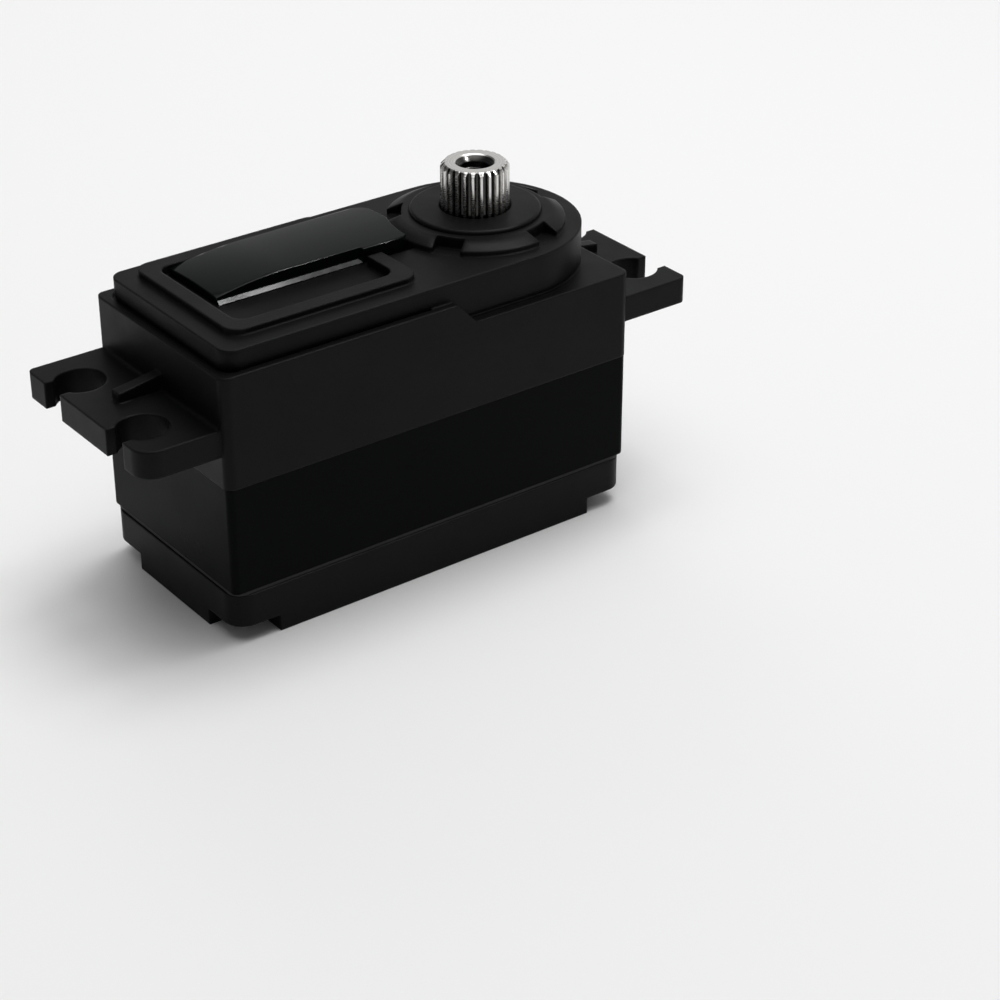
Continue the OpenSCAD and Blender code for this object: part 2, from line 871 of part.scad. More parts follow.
// Output gear, hub, bearing journals and splined shaft, machined in one piece
module output_gear() {
    neck_z = upper_bearing_z + bearing_w;
    color([0.62, 0.61, 0.58])
        at(output_at)
            difference() {
                union() {
                    rod(bearing_bore_r, lower_bearing_z - 0.4, joint_z);
                    rod(shaft_collar_r, joint_z, output_gear_z);
                    span(output_gear_z, output_gear_top)
                        gear_outline(
                            output_teeth, output_mod,
                            bearing_to(output_at, third_at) + 180 / output_teeth);
                    rod(output_hub_r, output_gear_top, third_wheel_top + 0.25);
                    rod(shaft_collar_r, third_wheel_top + 0.2, upper_bearing_z);
                    rod(bearing_bore_r, upper_bearing_z, neck_z);
                    rod(2.6, neck_z, cap_top_z - 0.6);
                    intersection() {
                        span(cap_top_z - 0.6, spline_top) spline_outline(2.52);
                        rotate_extrude()
                            polygon([
                                [0, cap_top_z - 1], [spline_r + 0.2, cap_top_z - 1],
                                [spline_r + 0.2, spline_top - 0.55], [spline_r - 0.35, spline_top],
                                [0, spline_top]
                            ]);
                    }
                }
                rod(horn_hole_r, spline_top - horn_hole_depth, spline_top + 1);
                translate([0, 0, spline_top - 0.5])
                    cylinder(r1 = horn_hole_r, r2 = horn_hole_r + 0.52, h = 0.52);
                pot_shaft_shape(lower_bearing_z - 2, pot_shaft_top);
            }
}

module output_o_ring() {
    color([0.02, 0.02, 0.02])
        at(output_at)
            rotate_extrude() translate([3.23, upper_bearing_z + bearing_w + 0.64]) circle(0.62);
}

module third_gear_wheel() {
    color([0.6, 0.59, 0.56])
        at(third_at)
            span(third_wheel_z, third_wheel_top)
                difference() {
                    gear_outline(
                        third_wheel_teeth, second_mod,
                        bearing_to(third_at, second_at) + 180 / third_wheel_teeth);
                    third_pinion_outline();
                }
}

module third_gear_pinion() {
    color([0.66, 0.65, 0.62])
        at(third_at)
            difference() {
                span(third_pinion_z, third_wheel_top + 0.15) third_pinion_outline();
                rod(pin_r + pin_fit, joint_z, second_wheel_top);
            }
}

module third_gear_pin() {
    color([0.82, 0.82, 0.83]) at(third_at) rod(pin_r, deck_z - 1, pin_top_z);
}

module second_gear_wheel() {
    color([0.6, 0.59, 0.56])
        at(second_at)
            span(second_wheel_z, second_wheel_top)
                difference() {
                    gear_outline(
                        second_wheel_teeth, first_mod,
                        bearing_to(second_at, first_at) + 180 / second_wheel_teeth);
                    second_pinion_outline();
                }
}

module second_gear_pinion() {
    color([0.66, 0.65, 0.62])
        at(second_at)
            difference() {
                span(second_pinion_z, second_wheel_top + 0.2) second_pinion_outline();
                rod(pin_r + pin_fit, boss_top_z, pin_socket_z);
            }
}

module second_gear_pin() {
    color([0.82, 0.82, 0.83]) at(second_at) rod(pin_r, boss_plate_z + 0.05, pin_top_z);
}

module first_gear_wheel() {
    color([0.6, 0.59, 0.56])
        at(first_at)
            span(first_wheel_z, first_wheel_top)
                difference() {
                    gear_outline(
                        first_wheel_teeth, motor_mod,
                        bearing_to(first_at, motor_at) + 180 / first_wheel_teeth);
                    circle(1.5);
                }
}

module first_gear_pinion() {
    color([0.66, 0.65, 0.62])
        at(first_at)
            difference() {
                union() {
                    rod(1.5, first_wheel_z, first_wheel_top);
                    span(first_wheel_top, first_pinion_top) first_pinion_outline();
                }
                rod(pin_r + pin_fit, boss_top_z, pin_socket_z);
            }
}

module first_gear_pin() {
    color([0.82, 0.82, 0.83]) at(first_at) rod(pin_r, boss_plate_z + 0.05, pin_top_z);
}

// ---------- Motor ----------

module motor_pinion() {
    color([0.72, 0.6, 0.32])
        at(motor_at)
            difference() {
                span(first_wheel_z, motor_pinion_top)
                    gear_outline(motor_pinion_teeth, motor_mod, bearing_to(motor_at, first_at));
                rod(motor_shaft_r, first_wheel_z - 1, motor_pinion_top + 1);
            }
}

module motor_can() {
    color([0.74, 0.74, 0.75])
        at(motor_at)
            difference() {
                union() {
                    rod(motor_r, can_z, can_top_z);
                    rod(nose_r, can_top_z - 1, nose_top_z);
                }
                rod(motor_r - can_t, can_z - 1, can_top_z - can_t);
                rod(bush_r, can_z, nose_top_z + 1);
                for (a = motor_screw_angles)
                    translate(concat(polar(motor_screw_circle_r, a), 0))
                        rod(motor_screw_r, can_top_z - 2, can_top_z + 1);
            }
}

// Two curved magnets on the inside of the can
module motor_magnets() {
    outer_r = motor_r - can_t;
    color([0.25, 0.25, 0.27])
        at(motor_at)
            difference() {
                tube(outer_r, outer_r - magnet_t, armature_z - 0.4, armature_top_z + 0.4);
                for (a = [-45, 135])
                    rotate([0, 0, a])
                        translate([0, -1.4, armature_z - 1]) cube([motor_r, 2.8, 10]);
            }
}

// Laminated core with five slots, on the motor shaft
module motor_armature() {
    color([0.45, 0.45, 0.47])
        at(motor_at)
            difference() {
                rod(armature_r, armature_z, armature_top_z);
                rod(motor_shaft_r, armature_z - 1, armature_top_z + 1);
                armature_slot_spaces(armature_z - 1, armature_top_z + 1);
            }
}

module armature_slot_spaces(z0, z1) {
    at_armature_slots() {
        rod(slot_round_r, z0, z1);
        box_between([0, -0.35, z0], [3, 0.35, z1]);
    }
}

module at_armature_slots() {
    for (i = [0 : armature_slots - 1])
        rotate([0, 0, 360 * i / armature_slots]) translate([slot_circle_r, 0, 0]) children();
}

// Copper wire that fills the slots, one bundle in each
module motor_windings() {
    color([0.72, 0.36, 0.16])
        at(motor_at)
            at_armature_slots() rod(slot_round_r, armature_z + 0.1, armature_top_z - 0.1);
}

module motor_shaft() {
    color([0.8, 0.8, 0.82]) at(motor_at) rod(motor_shaft_r, can_z + 0.1, motor_pinion_top + 0.05);
}

module motor_commutator() {
    color([0.75, 0.45, 0.25])
        at(motor_at)
            difference() {
                tube(commutator_r, motor_shaft_r, commutator_z, commutator_top_z);
                for (a = [90, 210, 330])
                    rotate([0, 0, a])
                        translate([commutator_r - 0.3, -0.1, commutator_z - 1]) cube([1, 0.2, 4]);
            }
}

// Two spring arms that press on the commutator
module motor_brushes() {
    color([0.8, 0.65, 0.35])
        at(motor_at)
            for (side = [0, 1])
                mirror([0, side, 0]) {
                    translate([-2.6, commutator_r + 0.06, can_z + bell_t]) cube([5.2, 0.24, 2.1]);
                    // Foot that joins the arm to its terminal
                    translate([-0.4, commutator_r + 0.2, can_z + bell_t]) cube([0.8, 2.5, 0.25]);
                }
}

module motor_end_bell() {
    color([0.12, 0.12, 0.12])
        at(motor_at)
            difference() {
                rod(motor_r - can_t, can_z, can_z + bell_t);
                rod(bush_r, can_z - 1, can_z + bell_t + 1);
                motor_terminal_places() cylinder(r = 0.4, h = 20, center = true);
            }
}

module motor_bushes() {
    color([0.7, 0.55, 0.3])
        at(motor_at) {
            tube(bush_r, motor_shaft_r + bush_fit, can_z + 0.1, can_z + bell_t);
            tube(bush_r, motor_shaft_r + bush_fit, can_top_z - can_t - 0.4, nose_top_z);
        }
}

module motor_screws() {
    color([0.7, 0.7, 0.71])
        at(motor_at)
            for (a = motor_screw_angles)
                translate(concat(polar(motor_screw_circle_r, a), 0))
                    difference() {
                        union() {
                            rod(motor_screw_head_r, boss_top_z, boss_top_z + 0.55);
                            translate([0, 0, boss_top_z + 0.55])
                                cylinder(r1 = motor_screw_head_r, r2 = 1.1, h = 0.3);
                            rod(motor_screw_r, can_top_z - can_t, boss_top_z + 0.1);
                        }
                        cross_recess(boss_top_z + 0.4, boss_top_z + 2, 1.8);
                    }
}

module motor_terminal_places() {
    for (sy = [-1, 1]) translate([0, sy * 4.2, 0]) children();
}

module motor_terminals() {
    color([0.8, 0.75, 0.55])
        at(motor_at)
            motor_terminal_places() rod(0.4, board_z - 0.4, can_z + bell_t);
}

// ---------- Electronics ----------

module pot_shaft_shape(z0, z1) {
    difference() {
        rod(pot_shaft_r, z0, z1);
        box_between([pot_shaft_r - pot_flat, -2, z0 - 1], [3, 2, z1 + 1]);
    }
}

module potentiometer_body() {
    color([0.1, 0.25, 0.2])
        at(output_at)
            difference() {
                union() {
                    rod(pot_r, pot_z, pot_top_z);
                    rod(2.6, pot_z, pot_top_z + 0.6);
                }
                rod(pot_r - pot_t, pot_z + pot_t + 0.3, pot_top_z - pot_t);
                rod(pot_shaft_r + 0.03, pot_z + pot_t, pot_top_z + 2);
            }
}

module potentiometer_track() {
    z = pot_z + pot_t + 0.3;
    color([0.08, 0.08, 0.08])
        at(output_at)
            difference() {
                tube(3.9, 2.7, z, z + 0.25);
                translate([-5, -0.6, z - 1]) cube([3, 1.2, 2]);
            }
}

module potentiometer_shaft() {
    color([0.85, 0.85, 0.8])
        at(output_at) {
            rod(pot_shaft_r, pot_z + pot_t + 0.1, pot_top_z + 0.8);
            pot_shaft_shape(pot_top_z + 0.7, pot_shaft_top);
        }
}

// Sliding contact arm on the potentiometer's shaft
module potentiometer_wiper() {
    z = pot_z + pot_t + 1.0;
    color([0.85, 0.7, 0.4])
        at(output_at)
            difference() {
                union() {
                    rod(2.2, z, z + 0.4);
                    box_between([0, -0.5, z], [3.6, 0.5, z + 0.4]);
                    box_between([3.0, -0.4, pot_z + pot_t + 0.58], [3.5, 0.4, z + 0.1]);
                }
                rod(pot_shaft_r, z - 1, z + 2);
            }
}

module potentiometer_pins() {
    color([0.8, 0.8, 0.75])
        at(output_at)
            for (y = [-2.5, 0, 2.5])
                translate([0, y, 0]) rod(0.35, board_z - 0.4, pot_z);
}

module control_board() {
    color([0.05, 0.3, 0.16])
        difference() {
            span(board_z, board_top) {
                square([35, 10.8], center = true);
                square([31.8, 16.6], center = true);
            }
            at(motor_at) motor_terminal_places() rod(0.4, 0, 10);
            at(output_at) for (y = [-2.5, 0, 2.5]) translate([0, y, 0]) rod(0.35, 0, 10);
        }
}

module microcontroller() {
    color([0.07, 0.07, 0.08]) box_between([-2.5, -2.5, board_z - 0.9], [2.5, 2.5, board_z]);
}

// Four power transistors that drive the motor
module bridge_transistors() {
    color([0.09, 0.09, 0.1])
        for (sx = [-1, 1], sy = [-1, 1])
            translate([-10.2 + 3 * sx, 4.6 * sy, board_z - 0.5])
                cube([3.4, 3, 1], center = true);
}

module capacitor() {
    color([0.75, 0.76, 0.78]) at([1.6, -4.2]) rod(2.2, board_top, board_top + 4.6);
}

top_case();
label_plate();
dust_cap();
middle_case();
case_gasket();
bottom_cover();
case_screws();
cable_grommet();
upper_bearing_outer_ring();
upper_bearing_inner_ring();
upper_bearing_balls();
upper_bearing_cage();
upper_bearing_shields();
lower_bearing_outer_ring();
lower_bearing_inner_ring();
lower_bearing_balls();
lower_bearing_cage();
output_gear();
output_o_ring();
third_gear_wheel();
third_gear_pinion();
third_gear_pin();
second_gear_wheel();
second_gear_pinion();
second_gear_pin();
first_gear_wheel();
first_gear_pinion();
first_gear_pin();
motor_pinion();
motor_can();
motor_magnets();
motor_armature();
motor_windings();
motor_shaft();
motor_commutator();
motor_brushes();
motor_end_bell();
motor_bushes();
motor_screws();
motor_terminals();
potentiometer_body();
potentiometer_track();
potentiometer_shaft();
potentiometer_wiper();
potentiometer_pins();
control_board();
microcontroller();
bridge_transistors();
capacitor();
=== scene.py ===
"""Looks, camera and studio for the low-profile servo motor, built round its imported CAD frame.

Every CAD node keeps its own mesh. It gets a small bevel on its edges and a procedural material.
Lengths are in metres unless a name ends in _mm or _MM. A name that ends in _TOWARDS holds a
direction as azimuth and elevation in degrees; azimuth 0 is +Y and 90 is +X.
"""

import json
import math

import bmesh
import bpy
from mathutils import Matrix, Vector


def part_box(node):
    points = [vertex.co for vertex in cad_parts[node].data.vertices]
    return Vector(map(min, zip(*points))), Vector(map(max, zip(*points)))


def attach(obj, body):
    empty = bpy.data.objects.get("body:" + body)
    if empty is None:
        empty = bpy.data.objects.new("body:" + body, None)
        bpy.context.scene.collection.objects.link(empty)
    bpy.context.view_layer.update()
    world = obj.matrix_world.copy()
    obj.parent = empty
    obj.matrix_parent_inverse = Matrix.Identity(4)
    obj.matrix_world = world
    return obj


MM = 0.001

# Camera: where it stands, the direction from its view's middle back to it, and its lens
CAMERA_AT = (-107.24 * MM, -160.65 * MM, 112.2 * MM)
CAMERA_TOWARDS = (217.01, 29.67)
CAMERA_LENS_MM = 91.08
SENSOR_MM = 36.0
CAMERA_CLIP_START = 0.01
CAMERA_CLIP_END = 10

# Studio: brightness of the room, of the space overhead, of the horizon and of the glow behind the
# output end. A pair of sines gives the elevations between which one fades into the next, and
# GLOW_ANGLES the angles from the glow's middle between which it rises from nothing to full.
ROOM_STRENGTH = 0.13
OVERHEAD_STRENGTH = 2.2
OVERHEAD_SINES = (0.8, 0.98)
HORIZON_STRENGTH = 0.7
HORIZON_SINES = (0.03, 0.17)
GLOW_STRENGTH = 0.5
GLOW_TOWARDS = (60, 30)
GLOW_ANGLES = (60, 10)

# Two soft lamps aimed at the servo: key from above, and back from behind
LAMP_TARGET = (0, 0, 0.02)
LAMP_SIZE = 0.20
KEY_AT = (0.12, 0.02, 0.42)
KEY_WATTS = 0.7
BACK_AT = (0.15, 0.45, 0.25)
BACK_WATTS = 0.25

# Small lamp that is mirrored as a streak on the front edge of the label plate. It lies in that
# direction from its target.
STREAK_TOWARDS = (132.4, 51.2)
STREAK_TARGET = Vector((-13.0, -0.9, 25.9)) * MM
STREAK_DISTANCE = 0.25
STREAK_SIZE = 0.018
STREAK_WATTS = 0.35

# Floor
FLOOR_SIZE = 4.0
FLOOR_COLOUR = (0.86, 0.86, 0.86)
FLOOR_ROUGHNESS = 0.7
FLOOR_SPECULAR = 0.2

# Moulded pieces: colour, roughness, size and depth of the texture in millimetres, specular level
PLASTICS = {
    "case_plastic": ((0.0030, 0.0030, 0.0031), 0.44, 0.14, 0.010, 0.09),
    "middle_plastic": ((0.0014, 0.0018, 0.0017), 0.32, 0.5, 0.002, 0.03),
    "label_gloss": ((0.0018, 0.0028, 0.0025), 0.13, 2.5, 0.003, 0.10),
    "gasket_rubber": ((0.006, 0.006, 0.006), 0.6, 0.2, 0.008, 0.4),
    "o_ring_rubber": ((0.008, 0.008, 0.008), 0.45, 0.2, 0.004, 0.5),
    "shield_black": ((0.012, 0.012, 0.012), 0.5, 0.2, 0.003, 0.5),
    "bell_plastic": ((0.02, 0.02, 0.02), 0.5, 0.2, 0.006, 0.4),
    "pot_plastic": ((0.015, 0.06, 0.045), 0.45, 0.25, 0.005, 0.5),
    "track_carbon": ((0.01, 0.01, 0.01), 0.55, 0.1, 0.004, 0.4),
    "shaft_plastic": ((0.62, 0.60, 0.54), 0.42, 0.3, 0.004, 0.5),
    "chip_black": ((0.014, 0.014, 0.015), 0.5, 0.12, 0.006, 0.45),
}

# Radius of the soft edges of two mouldings
SOFT_EDGES_MM = {"case_plastic": 0.3, "middle_plastic": 0.15}

# Height of the label pocket's floor, which is darkened with painted shade against the rest of the
# upper case, and how far from that height counts as the floor
PAINTED_SHADE_FLOORS_MM = {"case_plastic": 25.7}
PAINTED_SHADE_WITHIN_MM = 0.05

# Metal pieces: colour, roughness, size and depth of the grain in millimetres
METALS = {
    "screw_steel": ((0.38, 0.38, 0.39), 0.32, 0.3, 0.004),
    "bearing_steel": ((0.66, 0.66, 0.67), 0.16, 0.3, 0.001),
    "ball_steel": ((0.78, 0.78, 0.79), 0.08, 0.3, 0.0005),
    "cage_brass": ((0.60, 0.46, 0.22), 0.35, 0.3, 0.004),
    "pin_steel": ((0.72, 0.72, 0.73), 0.14, 0.3, 0.001),
    "pinion_brass": ((0.66, 0.50, 0.24), 0.28, 0.3, 0.004),
    "magnet_dark": ((0.10, 0.10, 0.11), 0.55, 0.15, 0.010),
    "contact_metal": ((0.70, 0.54, 0.28), 0.25, 0.3, 0.004),
    "tinned_metal": ((0.68, 0.68, 0.66), 0.30, 0.3, 0.004),
    "capacitor_can": ((0.66, 0.67, 0.68), 0.25, 0.3, 0.004),
}

# Steel of the gears and of the spline, and the roughness of each
GEAR_STEEL = (0.74, 0.725, 0.705)
GEAR_ROUGHNESS = {"wheel_steel": 0.34, "pinion_steel": 0.28}
SPLINE_ROUGHNESS = 0.2

# Radii between the floor of a spline gap and the land of a tooth, over which the painted shade in
# the gaps fades out
SPLINE_GAP_RADII_MM = (2.62, 2.86)

# Rounding of the sharp edges
BEVELS_MM = {
    "top_case": 0.14,
    "middle_case": 0.10,
    "bottom_cover": 0.14,
    "label_plate": 0.10,
    "dust_cap": 0.05,
    "output_gear": 0.035,
    "case_gasket": 0.04,
}
DEFAULT_BEVEL_MM = 0.03
UNBEVELLED = ("upper_bearing_balls", "lower_bearing_balls", "output_o_ring")
BEVEL_FROM_ANGLE = math.radians(35)
FLAT_WITHIN_ANGLE = math.radians(0.4)
WELD_DISTANCE = 0.5e-6

# Thread in the horn-screw hole. Its root lies a little inside the hole's wall. The widths and the
# room left at each end of the hole are in pitches.
THREAD_PITCH = 0.5 * MM
THREAD_DEPTH = 0.16 * MM
THREAD_SINK = 0.03 * MM
THREAD_HALF_ROOT = 0.42
THREAD_HALF_CREST = 0.06
THREAD_END_ROOM = 0.6
THREAD_STEPS = 32

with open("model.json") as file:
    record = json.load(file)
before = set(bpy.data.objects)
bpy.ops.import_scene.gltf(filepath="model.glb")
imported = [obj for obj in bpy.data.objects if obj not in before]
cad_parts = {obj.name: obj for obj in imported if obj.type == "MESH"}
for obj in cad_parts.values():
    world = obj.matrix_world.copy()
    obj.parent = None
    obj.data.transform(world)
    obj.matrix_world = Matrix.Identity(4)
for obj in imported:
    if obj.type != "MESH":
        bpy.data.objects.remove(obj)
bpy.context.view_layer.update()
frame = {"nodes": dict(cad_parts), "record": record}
nodes = frame["nodes"]


# ---------- Material helpers ----------


def shade(colour, factor):
    """The colour made darker or lighter, up to white."""
    return [min(1.0, c * factor) for c in colour]


class Material:
    """A Principled material with short helpers that add and link nodes."""

    def __init__(self, name, base, roughness, metallic=0.0, specular=0.5):
        self.material = bpy.data.materials.new(name)
        self.material.use_nodes = True
        self.tree = self.material.node_tree
        self.shader = self.tree.nodes["Principled BSDF"]
        self.shader.inputs["Base Color"].default_value = (*base, 1)
        self.shader.inputs["Roughness"].default_value = roughness
        self.shader.inputs["Metallic"].default_value = metallic
        self.shader.inputs["Specular IOR Level"].default_value = specular
        self.normal = None

    def add(self, kind, inputs=None, **settings):
        """A new node with its settings, and with its inputs linked to sockets or set."""
        node = self.tree.nodes.new(kind)
        for key, value in settings.items():
            setattr(node, key, value)
        for key, value in (inputs or {}).items():
            if isinstance(value, bpy.types.NodeSocket):
                self.tree.links.new(value, node.inputs[key])
            else:
                node.inputs[key].default_value = value
        return node

    def maths(self, operation, *values):
        """Result of one math operation on sockets or numbers."""
        node = self.add("ShaderNodeMath", dict(enumerate(values)), operation=operation)
        return node.outputs["Value"]

    def position(self, scale=(1, 1, 1), offset=(0, 0, 0)):
        """Object position in millimetres, scaled and moved."""
        coords = self.add("ShaderNodeTexCoord").outputs["Object"]
        mapping = self.add(
            "ShaderNodeMapping",
            {"Vector": coords, "Scale": [s / MM for s in scale], "Location": offset},
        )
        return mapping.outputs["Vector"]

    def height(self):
        """Height above the servo's base in millimetres."""
        return self.add("ShaderNodeSeparateXYZ", {"Vector": self.position()}).outputs["Z"]

    def noise(self, size_mm, detail=2.0, roughness=0.5, stretch=(1, 1, 1)):
        """Noise whose largest blotches are about size_mm across."""
        return self.add(
            "ShaderNodeTexNoise",
            {
                "Vector": self.position(stretch),
                "Scale": 1.0 / size_mm,
                "Detail": detail,
                "Roughness": roughness,
            },
        ).outputs["Fac"]

    def remap(self, value, low, high, from_low=0.3, from_high=0.7):
        """Stretches value from from_low..from_high to low..high."""
        return self.add(
            "ShaderNodeMapRange",
            {
                "Value": value,
                "From Min": from_low,
                "From Max": from_high,
                "To Min": low,
                "To Max": high,
            },
        ).outputs["Result"]

    def vary_roughness(self, value, middle, below, above):
        """Lets value move the roughness between middle - below and middle + above."""
        roughness = self.remap(value, middle - below, middle + above)
        self.tree.links.new(roughness, self.shader.inputs["Roughness"])

    def vary_colour(self, value, first, second):
        """Mixes the colour from first to second by value from 0 to 1."""
        mix = self.add("ShaderNodeMix", data_type="RGBA")
        self.tree.links.new(value, mix.inputs["Factor"])
        mix.inputs["A"].default_value = (*first, 1)
        mix.inputs["B"].default_value = (*second, 1)
        self.tree.links.new(mix.outputs["Result"], self.shader.inputs["Base Color"])

    def bump(self, height, depth_mm):
        """Adds a bump of that depth on top of any bump already there."""
        inputs = {"Height": height, "Distance": depth_mm * MM, "Strength": 1.0}
        if self.normal is not None:
            inputs["Normal"] = self.normal
        self.normal = self.add("ShaderNodeBump", inputs).outputs["Normal"]
        self.tree.links.new(self.normal, self.shader.inputs["Normal"])


def textured_plastic(name, base, roughness, grain_mm, depth_mm, specular):
    """Moulded plastic or rubber with an eroded-mould texture, slight blotches in its gloss and,
    on a listed recess floor, painted shade.
    """
    m = Material(name, base, roughness, specular=specular)
    if name in SOFT_EDGES_MM:
        edge = {"Radius": SOFT_EDGES_MM[name] * MM}
        m.normal = m.add("ShaderNodeBevel", edge, samples=6).outputs["Normal"]
    m.bump(m.noise(grain_mm, detail=3.0, roughness=0.6), depth_mm)
    m.vary_roughness(m.noise(size_mm=5.0, detail=3.0), roughness, below=0.05, above=0.06)
    # Painted shade: the label pocket's floor is darkened to 40% of the base colour, as if in the
    # shade of the recess.
    if name in PAINTED_SHADE_FLOORS_MM:
        floor = m.maths("COMPARE", m.height(), PAINTED_SHADE_FLOORS_MM[name], PAINTED_SHADE_WITHIN_MM)
        m.vary_colour(floor, base, shade(base, 0.4))
    else:
        m.vary_colour(m.remap(m.noise(size_mm=9.0), 0.0, 1.0), base, shade(base, 1.25))
    return m


def turned_surface(name, base, roughness, axis_at, ring_mm, depth_mm):
    """Metal with fine turning marks round the vertical axis at axis_at, and no colour variation.

    Returns the material and the radius from that axis in millimetres.
    """
    m = Material(name, base, roughness, metallic=1.0)
    coords = m.position(offset=[-axis_at[0] / MM, -axis_at[1] / MM, 0])
    flat = m.add("ShaderNodeVectorMath", {0: coords, 1: (1, 1, 0)}, operation="MULTIPLY")
    length = m.add("ShaderNodeVectorMath", {0: flat.outputs["Vector"]}, operation="LENGTH")
    radius = length.outputs["Value"]
    along = m.maths("ADD", radius, m.height())
    ring_inputs = {"W": along, "Scale": 1.0 / ring_mm, "Detail": 3.0}
    rings = m.add("ShaderNodeTexNoise", ring_inputs, noise_dimensions="1D").outputs["Fac"]
    m.bump(rings, depth_mm)
    m.bump(m.noise(size_mm=0.25, detail=3.0), depth_mm * 0.6)
    m.vary_roughness(rings, roughness, below=0.07, above=0.1)
    return m, radius


def turned_metal(name, base, roughness, axis_at, ring_mm, depth_mm):
    """Turned metal with slight stains."""
    m, _ = turned_surface(name, base, roughness, axis_at, ring_mm, depth_mm)
    stains = m.remap(m.noise(size_mm=2.2, detail=3.0), 0.0, 1.0)
    m.vary_colour(stains, shade(base, 0.8), base)
    return m


def spline_metal(name, axis_at, end_mm):
    """Turned steel, darkened with painted shade in the gaps of the spline and plain on its teeth
    and above end_mm.
    """
    m, radius = turned_surface(name, GEAR_STEEL, SPLINE_ROUGHNESS, axis_at, 0.07, 0.002)
    # Painted shade: the spline's gaps are darkened to 9% of the steel's colour; the teeth and
    # everything above end_mm keep the plain steel.
    land = m.remap(radius, 0.0, 1.0, *SPLINE_GAP_RADII_MM)
    unshaded = m.maths("MAXIMUM", land, m.maths("GREATER_THAN", m.height(), end_mm))
    m.vary_colour(unshaded, shade(GEAR_STEEL, 0.09), GEAR_STEEL)
    return m


def plain_metal(name, base, roughness, grain_mm, depth_mm):
    """Drawn, stamped or ground metal with a light grain."""
    m = Material(name, base, roughness, metallic=1.0)
    m.bump(m.noise(grain_mm, detail=3.0), depth_mm)
    m.vary_roughness(m.noise(size_mm=1.5, detail=3.0), roughness, below=0.05, above=0.08)
    m.vary_colour(m.remap(m.noise(size_mm=3.0), 0.0, 1.0), shade(base, 0.85), base)
    return m


def laminated_steel(name, base, sheet_mm=0.35):
    """Stack of thin steel sheets, seen as fine lines along the height."""
    m = Material(name, base, 0.4, metallic=1.0)
    sheets = m.maths("PINGPONG", m.height(), sheet_mm)
    m.bump(sheets, 0.06)
    m.vary_colour(m.remap(sheets, 0.0, 1.0, 0.0, 0.12), shade(base, 0.3), base)
    return m


def wound_copper(name, base, strand_mm=0.16):
    """Enamelled wire, seen as fine strands along the height."""
    m = Material(name, base, 0.3, metallic=1.0)
    strands = m.noise(strand_mm, detail=1.0, stretch=(1, 1, 0.06))
    m.bump(strands, 0.08)
    m.vary_colour(m.remap(strands, 0.0, 1.0), shade(base, 0.55), base)
    return m


def circuit_board(name, base):
    """Solder mask with lighter copper tracks below it."""
    m = Material(name, base, 0.35, specular=0.5)
    cells = m.add(
        "ShaderNodeTexVoronoi",
        {"Vector": m.position(), "Scale": 0.45},
        distance="CHEBYCHEV",
        feature="F1",
    ).outputs["Distance"]
    tracks = m.remap(m.maths("PINGPONG", cells, 0.28), 0.0, 1.0, 0.10, 0.16)
    m.bump(tracks, 0.03)
    m.vary_colour(tracks, shade(base, 0.6), shade(base, 1.7))
    return m


# ---------- Materials ----------


def axis_of(node):
    """Centre of a node's box, as the axis of its turning marks."""
    low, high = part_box(node)
    return (low + high) / 2


def make_materials():
    """One material for each slot of the record, apart from those of the gears."""
    made = {}
    for name, values in PLASTICS.items():
        made[name] = textured_plastic(name, *values)
    for name, values in METALS.items():
        made[name] = plain_metal(name, *values)
    spline_end_mm = (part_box("output_gear")[1].z - 0.1 * MM) / MM
    output_axis = axis_of("upper_bearing_outer_ring")
    made["spline_steel"] = spline_metal("spline_steel", output_axis, spline_end_mm)
    made["can_steel"] = turned_metal(
        "can_steel", (0.62, 0.62, 0.63), 0.30, axis_of("motor_shaft"), 0.12, 0.004
    )
    made["lamination_steel"] = laminated_steel("lamination_steel", (0.36, 0.36, 0.38))
    made["winding_copper"] = wound_copper("winding_copper", (0.60, 0.24, 0.10))
    made["board_green"] = circuit_board("board_green", (0.012, 0.11, 0.05))
    return {name: m.material for name, m in made.items()}


materials = make_materials()


def material_for(node, slot):
    """Gears get turning marks round their own axis; other nodes share their slot's material."""
    if slot in GEAR_ROUGHNESS:
        m = turned_metal(node, GEAR_STEEL, GEAR_ROUGHNESS[slot], axis_of(node), 0.09, 0.006)
        return m.material
    return materials[slot]


# ---------- CAD nodes: bevels and materials ----------


def dress(node, obj, slot):
    """Gives a CAD node its material, a small rounding on its sharp edges and smooth shading."""
    obj.data.materials.clear()
    obj.data.materials.append(material_for(node, slot))
    for polygon in obj.data.polygons:
        polygon.use_smooth = True
        polygon.material_index = 0
    weld = obj.modifiers.new("weld", "WELD")
    weld.merge_threshold = WELD_DISTANCE
    if node not in UNBEVELLED:
        planar = obj.modifiers.new("planar", "DECIMATE")
        planar.decimate_type = "DISSOLVE"
        planar.angle_limit = FLAT_WITHIN_ANGLE
        bevel = obj.modifiers.new("bevel", "BEVEL")
        bevel.width = BEVELS_MM.get(node, DEFAULT_BEVEL_MM) * MM
        bevel.segments = 2
        bevel.limit_method = "ANGLE"
        bevel.angle_limit = BEVEL_FROM_ANGLE
        bevel.use_clamp_overlap = True
        bevel.miter_outer = "MITER_ARC"
        shading = obj.modifiers.new("shading", "WEIGHTED_NORMAL")
        shading.mode = "FACE_AREA"


def dress_all():
    slots = {s["node"]: s["material_slot"] for s in frame["record"]["subparts"]}
    for node, obj in nodes.items():
        dress(node, obj, slots[node])


dress_all()


# ---------- Added detail ----------


def add_piece(name, mesh, body, slot):
    """A new smooth piece that rides on a body and has that slot's material."""
    obj = bpy.data.objects.new(name, mesh)
    bpy.context.scene.collection.objects.link(obj)
    obj.data.materials.append(materials[slot])
    for polygon in obj.data.polygons:
        polygon.use_smooth = True
    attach(obj, body)


